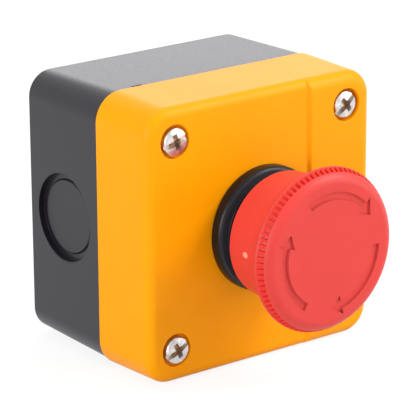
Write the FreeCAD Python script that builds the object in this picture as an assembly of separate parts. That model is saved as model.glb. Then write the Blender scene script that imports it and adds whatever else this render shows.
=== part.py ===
import FreeCAD, Part
import math
import os

# Emergency stop station: a two-part moulded box with a push-lock, turn-to-release operator.
# Millimetres. The origin is the centre of the flat back, which lies on the wall.
# X runs to the right, Z up, and the button faces -Y. Depths are counted forward from the wall.

# Box
box_width = 68.8
box_height = 68.8
cover_depth = 19.8
corner_radius = 7.2
base_draft = 0.65
cover_draft = 0.5
cover_overhang = 0.35
front_edge_radius = 2.4
back_edge_bevel = 0.8
side_wall = 2.4
back_wall = 2.6
front_wall = 3.2
wiring_room = 2.4

# Raised panel along the right side of the cover
raised_foot = 14.2
raised_draft = 0.6
raised_height = 0.75

# Lap joint and seal between the two halves
lip_thickness = 1.3
tongue_height = 2.0
lap_clearance = 0.12
lid_seal_height = 1.2
post_gap = 0.1

# Cover screws and their posts
screw_inset = 8.6
screw_shank_radius = 1.7
screw_head_radius = 3.3
screw_head_height = 2.4
screw_crown = 0.5
screw_stand = 0.75
screw_length = 25.0
screw_fit = 0.05
screw_hole_clearance = 0.3
counterbore_clearance = 0.8
pilot_spare_depth = 2.0
post_margin = 4.6
post_corner_radius = 3.0

# Wall screw holes, side knockouts and the slot for prying the cover off
wall_screw_edge = 7.4
wall_screw_radius = 2.2
wall_pad_margin = 1.9
wall_pad_height = 1.0
knockout_radius = 11.0
knockout_groove = 1.6
knockout_depth = 1.9
knockout_sunk = 1.4
knockout_bevel = 0.4
knockout_edge = 0.25
pry_slot_edge = 11.8
pry_slot_length = 2.8
pry_slot_depth = 1.6
pry_slot_reach = 1.0

# Operator body
panel_hole_radius = 11.2
panel_hole_clearance = 0.3
panel_key_width = 3.2
panel_key_reach = 12.95
key_clearance = 0.15
gasket_radius = 14.2
gasket_sunk = 0.9
gasket_stand = 0.2
gasket_clearance = 0.3
bezel_radius = 15.5
bezel_height = 3.2
bezel_edge_radius = 1.1
bezel_clearance = 0.5
neck_height = 8.6
neck_edge_bevel = 0.6
sleeve_wall = 2.3
sleeve_length = 17.2
guide_length = 4.5
spring_groove_depth = 3.5
spring_groove_inner = 8.4
spring_groove_outer = 11.8
shaft_seal_radius = 6.2
shaft_seal_height = 1.4
nut_height = 4.5
nut_half_width = 14.0
thread_fit = 0.05

# Mushroom head
head_radius = 20.0
head_height = 18.84
head_face_radius = 17.0
dome_height = 2.94
dome_bulge = 0.55
rim_width = 1.05
rim_ridge = 0.25
notch_count = 84
notch_lead = 0.15
notch_length = 1.65
notch_width = 0.75
notch_depth = 1.4
skirt_radius = 15.5
skirt_wall = 1.35
skirt_flare = 0.6
skirt_length = 8.0
skirt_clearance = 1.35
skirt_edge_bevel = 0.3
skirt_stop_gap = 0.2
crown_thickness = 4.8
crown_relief = 2.3
boss_radius = 6.0
socket_depth = 1.6

# Shaft, latch and pusher
travel = 3.4
twist_angle = 45.0
twist_clearance = 3.0
shaft_radius = 4.0
shaft_fit = 0.08
lug_reach = 7.6
lug_width = 3.2
lug_height = 2.5
lug_setting = 8.5
lug_clearance = 0.6
latch_wall = 2.1
latch_length = 13.5
latch_fit = 0.1
latch_wire_radius = 0.5
latch_wire_gap = 0.1
latch_wire_drop = 4.5
latch_wire_tail = 6.0
latch_wire_shoulder = 2.0
latch_slot_gap = 0.1
latch_side_gap = 0.2
catch_depth = 0.6
catch_room = 0.2
pusher_radius = 8.2
pusher_height = 3.5
pusher_inset = 2.4
pusher_key_reach = 10.3
pusher_key_width = 3.0
pusher_key_clearance = 0.2
journal_radius = 2.6
journal_fit = 0.06
clip_side_gap = 0.3
clip_thickness = 0.8
clip_gap = 0.1
clip_groove = 0.6
clip_mouth = 0.25
shaft_tip = 0.5
shaft_end_gap = 0.6

# Contact carrier and contact blocks
collar_wall = 2.05
collar_gap = 1.3
carrier_plate = 2.0
carrier_corner = 3.0
carrier_screw_radius = 1.2
carrier_screw_head_radius = 2.0
carrier_screw_head_height = 1.4
carrier_screw_grip = 6.0
carrier_screw_room = 0.4
carrier_screw_edge = 3.2
block_depth = 25.0
block_width = 13.2
block_gap = 0.4
block_wall = 1.2
block_front_wall = 1.6
block_back_thickness = 1.6
block_edge_radius = 1.0
core_half_height = 9.0
driver_hole_radius = 2.8
strip_setback = 16.0
strip_thickness = 1.0
strip_width = 6.0
strip_gap = 2.6
strip_end_gap = 0.4
terminal_setback = 4.8
contact_half_width = 1.2
contact_height = 0.5
contact_setting = 4.2
clamp_size = 6.4
clamp_thickness = 1.2
terminal_screw_radius = 1.5
terminal_head_radius = 2.5
terminal_head_height = 2.6
terminal_screw_grip = 5.0
plunger_half_width = 1.5
plunger_margin = 0.8
plunger_fit = 0.08
plunger_flange_half = 2.6
plunger_flange_height = 1.4
plunger_stud_half = 0.9
plunger_stud_length = 1.0
plunger_gap = 0.05
bridge_width = 4.0
bridge_thickness = 0.8
bridge_end = 1.8
bridge_close_gap = 0.05

# Springs
return_wire_radius = 0.6
return_turns = 5
contact_wire_radius = 0.2
contact_spring_radius = 1.8
nc_turns = 3
no_turns = 8

# How finely curves are drawn
arc_chords = 5
chords_per_turn = 12
wire_sides = 5

# Depths that follow from the stack of pieces on the operator's axis
block_back = back_wall + wiring_room
block_front = block_back + block_depth
shaft_end = block_front + shaft_end_gap + travel
clip_back = shaft_end + shaft_tip
pusher_back = clip_back + clip_thickness + clip_gap
pusher_front = pusher_back + pusher_height
sleeve_end = pusher_back - pusher_inset
bezel_seat = sleeve_end + sleeve_length
front = bezel_seat - gasket_stand
gasket_floor = front - gasket_sunk
raised_front = front + raised_height
base_depth = front - cover_depth
cover_inside = front - front_wall
shoulder = bezel_seat + bezel_height
neck_top = shoulder + neck_height
guide_bottom = neck_top - guide_length
spring_seat = neck_top - spring_groove_depth
skirt_edge = shoulder + skirt_stop_gap + travel
head_face = skirt_edge + head_height
head_roof = head_face - crown_thickness
rim_front = head_face - dome_height
rim_back = rim_front - rim_width
shaft_top = head_roof + socket_depth
latch_bottom = guide_bottom - latch_length
latch_plane = guide_bottom - latch_wire_drop
catch_plane = latch_plane + travel
lug_bottom = guide_bottom - lug_setting - lug_height
lug_top = guide_bottom - lug_setting
nut_back = cover_inside - nut_height
collar_front = nut_back - collar_gap
tongue_end = base_depth + tongue_height
seal_shelf = tongue_end + lid_seal_height
screw_seat = front + screw_stand - screw_head_height
strip_front = block_front - strip_setback + strip_thickness
strip_back = block_front - strip_setback

# Radii and offsets that follow from their neighbours
thread_radius = panel_hole_radius - panel_hole_clearance
sleeve_bore = thread_radius - sleeve_wall
latch_outer = sleeve_bore - latch_fit
latch_inner = latch_outer - latch_wall
skirt_inner = skirt_radius - skirt_wall
neck_radius = skirt_inner - skirt_clearance
return_spring_radius = (spring_groove_inner + spring_groove_outer) / 2
latch_leg = shaft_radius + latch_wire_gap + latch_wire_radius
collar_bore = thread_radius + thread_fit
collar_radius = collar_bore + collar_wall
plunger_x = pusher_radius - plunger_margin - plunger_half_width
clip_radius = plunger_x - plunger_half_width - clip_side_gap
block_x = (block_width + block_gap) / 2
screw_x = box_width / 2 - screw_inset
screw_z = box_height / 2 - screw_inset
wall_screw_z = box_height / 2 - wall_screw_edge
carrier_screw_circle = collar_radius + carrier_screw_room + carrier_screw_head_radius
carrier_screw_z = math.sqrt(carrier_screw_circle ** 2 - block_x ** 2)
block_half_height = carrier_screw_z + carrier_screw_edge
terminal_z = block_half_height - terminal_setback


def point(x, depth, z):
    """A point at a given depth in front of the wall."""
    return FreeCAD.Vector(x, -depth, z)


forward = FreeCAD.Vector(0, -1, 0)
axis_origin = FreeCAD.Vector(0, 0, 0)
button_axis = FreeCAD.Vector(0, 1, 0)


def rod(radius, back, ahead, x=0.0, z=0.0):
    """A cylinder along the button's axis."""
    return Part.makeCylinder(radius, ahead - back, point(x, back, z), forward)


def ring(inner, outer, back, ahead):
    """A plain ring round the button's axis."""
    return rod(outer, back, ahead).cut(rod(inner, back, ahead))


def bar(x0, x1, back, ahead, z0, z1):
    """A rectangular block."""
    return Part.makeBox(x1 - x0, ahead - back, z1 - z0, point(x0, ahead, z0))


def outline(half_width, half_height, radius, depth):
    """A rectangle with round corners, in a plane parallel to the wall."""
    x = half_width - radius
    z = half_height - radius
    edges = []
    corners = [(x, z, 0), (-x, z, 90), (-x, -z, 180), (x, -z, 270)]
    last = None
    first = None
    for cx, cz, start in corners:
        arc = []
        for angle in (start, start + 45, start + 90):
            turn = math.radians(angle)
            arc.append(point(cx + radius * math.cos(turn), depth, cz + radius * math.sin(turn)))
        if last is not None:
            edges.append(Part.LineSegment(last, arc[0]).toShape())
        else:
            first = arc[0]
        edges.append(Part.Arc(arc[0], arc[1], arc[2]).toShape())
        last = arc[2]
    edges.append(Part.LineSegment(last, first).toShape())
    return Part.Wire(edges)


def drafted(inset_back, inset_ahead, back, ahead):
    """The box's outline, drawn in by the two insets at the two depths."""
    wires = []
    for inset, depth in ((inset_back, back), (inset_ahead, ahead)):
        half_width = box_width / 2 - inset
        half_height = box_height / 2 - inset
        wires.append(outline(half_width, half_height, corner_radius - inset, depth))
    return Part.makeLoft(wires, True, True)


def straight(inset, back, ahead):
    """The box's outline, drawn in by one inset, as an upright block."""
    wire = outline(box_width / 2 - inset, box_height / 2 - inset, corner_radius - inset, back)
    return Part.Face(wire).extrude(forward * (ahead - back))


def turned(points):
    """A solid of revolution from a closed profile of radius and depth pairs.

    A pair of pairs is the middle and the end of an arc, turned as a few short cones."""
    last = FreeCAD.Vector(points[0][0], -points[0][1], 0)
    corners = [last]
    for item in points[1:]:
        if isinstance(item[0], tuple):
            middle = FreeCAD.Vector(item[0][0], -item[0][1], 0)
            end = FreeCAD.Vector(item[1][0], -item[1][1], 0)
            curve = Part.Arc(last, middle, end).toShape().discretize(Number=arc_chords + 1)
            corners.extend(curve[1:])
        else:
            corners.append(FreeCAD.Vector(item[0], -item[1], 0))
        last = corners[-1]
    corners.append(corners[0])
    return Part.Face(Part.makePolygon(corners)).revolve(axis_origin, button_axis, 360)


def wedge(start, end, radius, back, ahead):
    """A sector round the button's axis, from one angle to another, in degrees."""
    corners = [point(0, back, 0)]
    for share in (0.0, 0.5, 1.0):
        turn = math.radians(start + (end - start) * share)
        corners.append(point(radius * math.cos(turn), back, radius * math.sin(turn)))
    corners.append(corners[0])
    return Part.Face(Part.makePolygon(corners)).extrude(forward * (ahead - back))


def about_axis(shape, angle):
    """A copy turned about the button's axis."""
    return shape.rotated(axis_origin, button_axis, angle)


def mirrored(shape):
    """A copy on the other side of the vertical middle plane."""
    return shape.mirror(axis_origin, FreeCAD.Vector(1, 0, 0))


def bent_wire(points, radius):
    """A round wire bent along straight chords, drawn with a many-sided section."""
    start = points[0]
    along = (points[1] - start).normalize()
    across = FreeCAD.Vector(1, 0, 0)
    across = (across - along * across.dot(along)).normalize()
    over = along.cross(across)
    section = []
    for index in range(wire_sides + 1):
        turn = 2 * math.pi * (index + 0.5) / wire_sides
        section.append(start + across * (radius * math.cos(turn)) + over * (radius * math.sin(turn)))
    return Part.makePolygon(points).makePipeShell([Part.makePolygon(section)], True, False, 1)


def coil(radius, wire_radius, back, ahead, turns, x=0.0):
    """A coil spring along the button's axis, between two seats."""
    chords = turns * chords_per_turn
    rise = (ahead - back - 2 * wire_radius) / chords
    path = []
    for index in range(chords + 1):
        turn = 2 * math.pi * index / chords_per_turn
        depth = back + wire_radius + rise * index
        path.append(point(x + radius * math.cos(turn), depth, radius * math.sin(turn)))
    return bent_wire(path, wire_radius)


def four_corners(shape_at):
    """The same feature at the four cover screws."""
    return [shape_at(sx * screw_x, sz * screw_z) for sx in (-1, 1) for sz in (-1, 1)]


def corner_post(x, z, back, ahead):
    """The block that carries one cover screw, reaching out past the box's corner."""
    side_x = math.copysign(1, x)
    side_z = math.copysign(1, z)
    inner_x = x - side_x * post_margin
    inner_z = z - side_z * post_margin
    outer_x = side_x * box_width
    outer_z = side_z * box_height
    block = bar(min(inner_x, outer_x), max(inner_x, outer_x), back, ahead,
                min(inner_z, outer_z), max(inner_z, outer_z))
    inner_edges = []
    for edge in block.Edges:
        ends = edge.Vertexes
        if all(abs(v.X - inner_x) < 1e-6 and abs(v.Z - inner_z) < 1e-6 for v in ends):
            inner_edges.append(edge)
    return block.makeFillet(post_corner_radius, inner_edges)


# Rear box: a drafted shell with corner posts, a tongue round its rim and two side knockouts
rim_inset = cover_overhang
tongue_inset = lip_thickness + lap_clearance
inner_inset = rim_inset + base_draft + side_wall
rear_box = drafted(rim_inset + base_draft, rim_inset, 0, base_depth)
back_edges = [e for e in rear_box.Edges if all(abs(v.Y) < 1e-6 for v in e.Vertexes)]
rear_box = rear_box.makeChamfer(back_edge_bevel, back_edges)
tongue = straight(tongue_inset, base_depth - side_wall, tongue_end)
rear_box = rear_box.fuse(tongue)
cavity = straight(inner_inset, back_wall, tongue_end)
for post in four_corners(lambda x, z: corner_post(x, z, 0, tongue_end)):
    cavity = cavity.cut(post)
rear_box = rear_box.cut(cavity)

pilot_end = screw_seat - screw_length - pilot_spare_depth
for hole in four_corners(lambda x, z: rod(screw_shank_radius + screw_fit, pilot_end, tongue_end, x, z)):
    rear_box = rear_box.cut(hole)

for side in (-1, 1):
    pad_radius = wall_screw_radius + wall_pad_margin
    pad = rod(pad_radius, back_wall, back_wall + wall_pad_height, 0, side * wall_screw_z)
    rear_box = rear_box.fuse(pad)
    wall_hole = rod(wall_screw_radius, 0, back_wall + wall_pad_height, 0, side * wall_screw_z)
    rear_box = rear_box.cut(wall_hole)

# A knockout is a sunk disc inside a groove that leaves only a thin skin to break
knockout_centre = base_depth / 2
knockout_face = box_width / 2 - rim_inset - base_draft / 2
knockout_floor = knockout_face - knockout_depth
disc_radius = knockout_radius - knockout_groove
disc_rise = knockout_depth - knockout_sunk - knockout_bevel
for side in (-1, 1):
    outward = FreeCAD.Vector(side, 0, 0)
    floor_point = point(side * knockout_floor, knockout_centre, 0)
    bevel_point = point(side * (knockout_floor + disc_rise), knockout_centre, 0)
    pocket = Part.makeCylinder(knockout_radius, side_wall + knockout_depth, floor_point, outward)
    pocket = pocket.cut(Part.makeCylinder(disc_radius, disc_rise, floor_point, outward))
    pocket = pocket.cut(Part.makeCone(disc_radius, disc_radius - knockout_bevel, knockout_bevel,
                                      bevel_point, outward))
    rear_box = rear_box.cut(pocket)
    edge_point = point(side * (knockout_face - knockout_edge), knockout_centre, 0)
    flare = Part.makeCone(knockout_radius, knockout_radius + 2 * knockout_edge, 2 * knockout_edge,
                          edge_point, outward)
    rear_box = rear_box.cut(flare)

# A short slot in the upper rim, where a screwdriver lifts the cover off
pry_left = pry_slot_edge - box_width / 2
rim_top = box_height / 2 - rim_inset
rear_box = rear_box.cut(bar(pry_left, pry_left + pry_slot_length, base_depth - pry_slot_depth, base_depth,
                            rim_top - pry_slot_reach, box_height / 2))
rear_box = rear_box.removeSplitter()



# Front cover: a drafted shell with a round front edge, a raised side panel and four screw posts
def cover_block(ahead, edge_radius):
    """The cover's outer form up to one depth, with its front edge rounded."""
    block = drafted(0, cover_draft * (ahead - base_depth) / cover_depth, base_depth, ahead)
    edges = [e for e in block.Edges if all(abs(v.Y + ahead) < 1e-6 for v in e.Vertexes)]
    return block.makeFillet(edge_radius, edges)


raised_lip = raised_foot + raised_draft
raised_clear = raised_front + front_wall
raised_corners = []
for x, depth in ((raised_foot, 0), (raised_foot, front), (raised_lip, raised_front),
                 (raised_lip, raised_clear), (box_width, raised_clear), (box_width, 0), (raised_foot, 0)):
    raised_corners.append(point(x, depth, -box_height))
raised_side = Part.Face(Part.makePolygon(raised_corners)).extrude(FreeCAD.Vector(0, 0, 2 * box_height))
raised_panel = cover_block(raised_front, front_edge_radius + raised_height).common(raised_side)
front_cover = cover_block(front, front_edge_radius).cut(raised_side).fuse(raised_panel)
front_cover = front_cover.cut(rod(bezel_radius + bezel_clearance, front, raised_clear))
front_cover = front_cover.cut(rod(gasket_radius + gasket_clearance, gasket_floor, raised_clear))

seal_inset = lip_thickness
shelf_inset = inner_inset
seal_room = straight(seal_inset, base_depth, seal_shelf)
post_end = tongue_end + post_gap
inner_rim = straight(shelf_inset, base_depth, seal_shelf)
room = straight(shelf_inset, seal_shelf, cover_inside)
for post in four_corners(lambda x, z: corner_post(x, z, post_end, front)):
    seal_room = seal_room.cut(post.common(inner_rim))
    room = room.cut(post)
front_cover = front_cover.cut(seal_room).cut(room)

counterbore_radius = screw_head_radius + counterbore_clearance
screw_hole_radius = screw_shank_radius + screw_hole_clearance
for hole in four_corners(lambda x, z: rod(counterbore_radius, screw_seat, raised_clear, x, z)):
    front_cover = front_cover.cut(hole)
for hole in four_corners(lambda x, z: rod(screw_hole_radius, base_depth, screw_seat, x, z)):
    front_cover = front_cover.cut(hole)
front_cover = front_cover.cut(rod(panel_hole_radius, cover_inside, front))
key_half = panel_key_width / 2
front_cover = front_cover.cut(bar(-key_half, key_half, cover_inside, front, 0, panel_key_reach))
front_cover = front_cover.removeSplitter()

# Rubber ring between the tongue's end and the cover's shelf
seal_fit = lap_clearance
lid_seal = straight(seal_inset + seal_fit, tongue_end, seal_shelf)
lid_seal = lid_seal.cut(straight(shelf_inset - seal_fit, tongue_end, seal_shelf))


# Cover screws: crowned heads set in counterbores
def cover_screw(x, z):
    """One screw."""
    top = screw_seat + screw_head_height
    crown_radius = (screw_head_radius ** 2 + screw_crown ** 2) / (2 * screw_crown)
    crown = Part.makeSphere(crown_radius, point(x, top - crown_radius, z))
    head = rod(screw_head_radius, screw_seat, top, x, z).common(crown)
    shank = rod(screw_shank_radius, screw_seat - screw_length, screw_seat, x, z)
    return head.fuse(shank)


cover_screws = Part.makeCompound(four_corners(cover_screw))

# Operator body: flange, neck with the shaft guide, and the sleeve that passes through the cover
bezel_edge_cut = bezel_edge_radius * (1 - math.sqrt(0.5))
bezel_body = turned([
    (thread_radius, sleeve_end), (thread_radius, bezel_seat), (bezel_radius, bezel_seat),
    (bezel_radius, shoulder - bezel_edge_radius),
    ((bezel_radius - bezel_edge_cut, shoulder - bezel_edge_cut),
     (bezel_radius - bezel_edge_radius, shoulder)),
    (neck_radius, shoulder), (neck_radius, neck_top - neck_edge_bevel),
    (neck_radius - neck_edge_bevel, neck_top),
    (spring_groove_outer, neck_top), (spring_groove_outer, spring_seat),
    (spring_groove_inner, spring_seat), (spring_groove_inner, neck_top),
    (shaft_seal_radius, neck_top), (shaft_seal_radius, neck_top - shaft_seal_height),
    (shaft_radius + shaft_fit, neck_top - shaft_seal_height), (shaft_radius + shaft_fit, guide_bottom),
    (sleeve_bore, guide_bottom), (sleeve_bore, sleeve_end)])
key_half = panel_key_width / 2 - key_clearance
panel_key = bar(-key_half, key_half, cover_inside + key_clearance, gasket_floor - key_clearance,
                (sleeve_bore + thread_radius) / 2, panel_key_reach - key_clearance)
bezel_body = bezel_body.fuse(panel_key)
slot_half = pusher_key_width / 2 + pusher_key_clearance
slot_end = pusher_front + pusher_key_clearance
bezel_body = bezel_body.cut(bar(-slot_half, slot_half, sleeve_end, slot_end, -bezel_radius, bezel_radius))
bezel_body = bezel_body.removeSplitter()

panel_gasket = ring(panel_hole_radius, gasket_radius, gasket_floor, bezel_seat)

# Six-sided nut behind the cover
nut_corner = nut_half_width / math.cos(math.radians(30))
nut_corners = []
for index in range(7):
    turn = math.radians(60 * index)
    nut_corners.append(point(nut_corner * math.cos(turn), nut_back, nut_corner * math.sin(turn)))
ring_nut = Part.Face(Part.makePolygon(nut_corners)).extrude(forward * nut_height)
ring_nut = ring_nut.cut(rod(thread_radius + thread_fit, nut_back, cover_inside))

seal_bottom = neck_top - shaft_seal_height
shaft_seal = ring(shaft_radius + shaft_fit, shaft_seal_radius - shaft_fit, seal_bottom, neck_top)

# Mushroom head: skirt, coved underside, knurled rim and rounded crown
cove_start = skirt_edge + skirt_length
cove_rim = head_radius - rim_ridge
cove_rise = rim_back - cove_start
cove_run = cove_rim - skirt_radius - skirt_flare
cove_radius = (cove_run ** 2 + cove_rise ** 2) / (2 * cove_run)
cove_half = math.asin(cove_rise / cove_radius) / 2
cove_mid = (skirt_radius + skirt_flare + cove_radius * (1 - math.cos(cove_half)),
            cove_start + cove_radius * math.sin(cove_half))
dome_run = head_radius - head_face_radius
dome_chord = math.hypot(dome_run, dome_height)
dome_mid = (head_radius - dome_run / 2 + dome_bulge * dome_height / dome_chord,
            rim_front + dome_height / 2 + dome_bulge * dome_run / dome_chord)
boss_end = neck_top + travel + skirt_stop_gap
socket_radius = shaft_radius + journal_fit
mushroom_head = turned([
    (skirt_inner, skirt_edge), (skirt_radius - skirt_edge_bevel, skirt_edge),
    (skirt_radius, skirt_edge + skirt_edge_bevel), (skirt_radius + skirt_flare, cove_start),
    (cove_mid, (cove_rim, rim_back)), (head_radius, rim_back + rim_ridge),
    (head_radius, rim_front), (dome_mid, (head_face_radius, head_face)), (0, head_face),
    (0, shaft_top), (socket_radius, shaft_top), (socket_radius, boss_end), (boss_radius, boss_end),
    (boss_radius, head_roof), (skirt_inner + crown_relief, head_roof), (skirt_inner, cove_start)])
notch_back = rim_front - notch_lead
notch_ahead = notch_back + notch_length
notch_corners = []
for radius, depth in ((head_radius, notch_back), (head_radius - notch_depth, notch_ahead),
                      (head_radius + notch_depth, notch_ahead), (head_radius + notch_depth, notch_back),
                      (head_radius, notch_back)):
    notch_corners.append(point(radius, depth, -notch_width / 2))
notch_side = Part.makePolygon(notch_corners)
notches = []
for index in range(notch_count):
    notch = Part.Face(notch_side).extrude(FreeCAD.Vector(0, 0, notch_width))
    notches.append(about_axis(notch, 360.0 * index / notch_count))
mushroom_head = mushroom_head.cut(Part.makeCompound(notches))

# Shaft: twist lugs, two catch flats for the latch wire, and a journal for the pusher
head_shaft = rod(shaft_radius, pusher_front, shaft_top)
head_shaft = head_shaft.fuse(rod(journal_radius, shaft_end, pusher_front))
lugs = bar(-lug_reach, lug_reach, lug_bottom, lug_top, -lug_width / 2, lug_width / 2)
head_shaft = head_shaft.fuse(lugs)
catch_half = latch_wire_radius + catch_room
catch_floor = shaft_radius - catch_depth
for side in (-1, 1):
    flat = bar(catch_floor, 2 * shaft_radius, catch_plane - catch_half, catch_plane + catch_half,
               -2 * shaft_radius, 2 * shaft_radius)
    if side < 0:
        flat = mirrored(flat)
    head_shaft = head_shaft.cut(flat)
groove_floor = journal_radius - clip_groove
groove = ring(groove_floor, 2 * journal_radius, clip_back, clip_back + clip_thickness)
head_shaft = head_shaft.cut(groove).removeSplitter()

# Open clip in the shaft's groove
clip_bore = groove_floor + journal_fit
shaft_clip = ring(clip_bore, clip_radius, clip_back + journal_fit, clip_back + clip_thickness - journal_fit)
mouth_half = clip_bore * (1 - clip_mouth)
shaft_clip = shaft_clip.cut(bar(-mouth_half, mouth_half, clip_back, pusher_back, 0, 2 * clip_radius))

# Latch sleeve: its windows stop the twist, and its cross slot holds the wire
latch_sleeve = ring(latch_inner, latch_outer, latch_bottom, guide_bottom)
lug_half_angle = math.degrees(math.asin(lug_width / 2 / latch_inner)) + twist_clearance
for turn in (0, 180):
    window = wedge(turn - twist_angle - lug_half_angle, turn + lug_half_angle, 2 * latch_outer,
                   latch_bottom, lug_top + lug_clearance)
    latch_sleeve = latch_sleeve.cut(window)
slot_half_width = latch_leg + latch_wire_radius + latch_side_gap
slot_half_height = latch_wire_radius + latch_slot_gap
latch_sleeve = latch_sleeve.cut(bar(-slot_half_width, slot_half_width, latch_plane - slot_half_height,
                                    latch_plane + slot_half_height, -2 * latch_outer, 2 * latch_outer))

# Wire hairpin that closes on the catch flats when the shaft is pressed
hairpin = [point(-latch_leg, latch_plane, -latch_wire_tail)]
bend_chords = chords_per_turn // 2
for index in range(bend_chords + 1):
    turn = math.pi * (1 - index / bend_chords)
    hairpin.append(point(latch_leg * math.cos(turn), latch_plane,
                         latch_wire_shoulder + latch_leg * math.sin(turn)))
hairpin.append(point(latch_leg, latch_plane, -latch_wire_tail))
latch_spring = bent_wire(hairpin, latch_wire_radius)

# Pusher, keyed in the sleeve so that it slides without turning
pusher = rod(pusher_radius, pusher_back, pusher_front)
pusher_key_half = pusher_key_width / 2
pusher = pusher.fuse(bar(-pusher_key_half, pusher_key_half, pusher_back, pusher_front,
                         -pusher_key_reach, pusher_key_reach))
pusher = pusher.cut(rod(journal_radius + journal_fit, pusher_back, pusher_front)).removeSplitter()

# Contact carrier: a collar on the sleeve and a plate for the two blocks
plate_front = block_front + carrier_plate
carrier_half_width = block_x + block_width / 2
plate = Part.Face(outline(carrier_half_width, block_half_height, carrier_corner, block_front))
contact_carrier = plate.extrude(forward * carrier_plate)
contact_carrier = contact_carrier.fuse(rod(collar_radius, block_front, collar_front))
contact_carrier = contact_carrier.cut(rod(collar_bore, block_front, collar_front))
carrier_spots = [(sx * block_x, sz * carrier_screw_z) for sx in (-1, 1) for sz in (-1, 1)]
carrier_hole = carrier_screw_radius + screw_fit
for x, z in carrier_spots:
    contact_carrier = contact_carrier.cut(rod(carrier_hole, block_front, plate_front, x, z))
contact_carrier = contact_carrier.removeSplitter()


def carrier_screw(x, z):
    """A pan-head screw from the plate into a contact block."""
    shank = rod(carrier_screw_radius, block_front - carrier_screw_grip, plate_front, x, z)
    head = rod(carrier_screw_head_radius, plate_front, plate_front + carrier_screw_head_height, x, z)
    return shank.fuse(head)


carrier_screws = Part.makeCompound([carrier_screw(x, z) for x, z in carrier_spots])


def post_bar(half, back, ahead, z=0.0):
    """A square bar on a plunger's axis."""
    return bar(plunger_x - half, plunger_x + half, back, ahead, z - half, z + half)


# Contact block, drawn on the right and mirrored for the left
block_inside = block_back + block_back_thickness
case_left = block_x - block_width / 2
case_right = block_x + block_width / 2
room_left = case_left + block_wall
room_right = case_right - block_wall
core_top = block_front - block_front_wall
room_half_height = block_half_height - block_wall
block_case = bar(case_left, case_right, block_inside, block_front, -block_half_height, block_half_height)
long_edges = [e for e in block_case.Edges if abs(e.Vertexes[0].Y - e.Vertexes[1].Y) > block_depth / 2]
block_case = block_case.makeFillet(block_edge_radius, long_edges)
block_case = block_case.cut(bar(room_left, room_right, block_inside, core_top,
                                -core_half_height, core_half_height))
block_case = block_case.cut(bar(room_left, room_right, block_inside, strip_front,
                                -room_half_height, room_half_height))
block_case = block_case.cut(post_bar(plunger_half_width + plunger_fit, core_top, block_front))
for side in (-1, 1):
    terminal_depth = strip_front + terminal_screw_grip
    block_case = block_case.cut(rod(terminal_screw_radius + screw_fit, strip_front, terminal_depth,
                                    block_x, side * terminal_z))
    block_case = block_case.cut(rod(carrier_hole, block_front - carrier_screw_grip, block_front,
                                    block_x, side * carrier_screw_z))
    wire_slot = bar(block_x - strip_width / 2, block_x + strip_width / 2, block_inside, strip_back,
                    min(side * room_half_height, side * 2 * block_half_height),
                    max(side * room_half_height, side * 2 * block_half_height))
    block_case = block_case.cut(wire_slot)

block_lid = bar(case_left, case_right, block_back, block_inside, -block_half_height, block_half_height)
half_lid = block_back_thickness / 2
lid_edges = [e for e in block_lid.Edges if abs(e.Vertexes[0].Y - e.Vertexes[1].Y) > half_lid]
block_lid = block_lid.makeFillet(block_edge_radius, lid_edges)
for side in (-1, 1):
    driver_hole = rod(driver_hole_radius, block_back, block_inside, block_x, side * terminal_z)
    block_lid = block_lid.cut(driver_hole)

# Fixed contact strips, with the contact buttons behind them or in front of them
strip_outer = room_half_height - strip_end_gap


def strip(side, contact_back, contact_ahead):
    """One fixed contact strip with its contact button."""
    low = min(side * strip_gap, side * strip_outer)
    high = max(side * strip_gap, side * strip_outer)
    piece = bar(block_x - strip_width / 2, block_x + strip_width / 2, strip_back, strip_front, low, high)
    piece = piece.fuse(post_bar(contact_half_width, contact_back, contact_ahead, side * contact_setting))
    screw_hole = terminal_screw_radius + screw_fit
    return piece.cut(rod(screw_hole, strip_back, strip_front, block_x, side * terminal_z))


nc_contact = strip_back - contact_height
no_contact = strip_front + contact_height
nc_strips = [strip(side, nc_contact, strip_back) for side in (-1, 1)]
no_strips = [strip(side, strip_front, no_contact) for side in (-1, 1)]


def bridge(back, buttons_back, buttons_ahead):
    """A moving contact bridge with its two contact buttons."""
    half = contact_setting + bridge_end
    piece = bar(plunger_x - bridge_width / 2, plunger_x + bridge_width / 2, back, back + bridge_thickness,
                -half, half)
    for side in (-1, 1):
        button = post_bar(contact_half_width, buttons_back, buttons_ahead, side * contact_setting)
        piece = piece.fuse(button)
    return piece.cut(post_bar(plunger_stud_half + screw_fit, back, back + bridge_thickness))


def plunger(bridge_back):
    """A plunger from the pusher to the bridge that it carries."""
    bridge_front = bridge_back + bridge_thickness
    stop = core_top - plunger_gap
    piece = post_bar(plunger_half_width, bridge_front, pusher_back - plunger_gap)
    piece = piece.fuse(post_bar(plunger_flange_half, stop - plunger_flange_height, stop))
    piece = piece.fuse(post_bar(plunger_stud_half, bridge_back - plunger_stud_length, bridge_front))
    return piece.removeSplitter()


# The opening bridge lies behind its strips, the closing bridge waits in front of them
nc_bridge_back = nc_contact - contact_height - bridge_thickness
no_bridge_back = no_contact + travel + bridge_close_gap + contact_height
nc_bridge = bridge(nc_bridge_back, nc_contact - contact_height, nc_contact)
no_bridge = bridge(no_bridge_back, no_bridge_back - contact_height, no_bridge_back)
nc_plunger = plunger(nc_bridge_back)
no_plunger = plunger(no_bridge_back)

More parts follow.
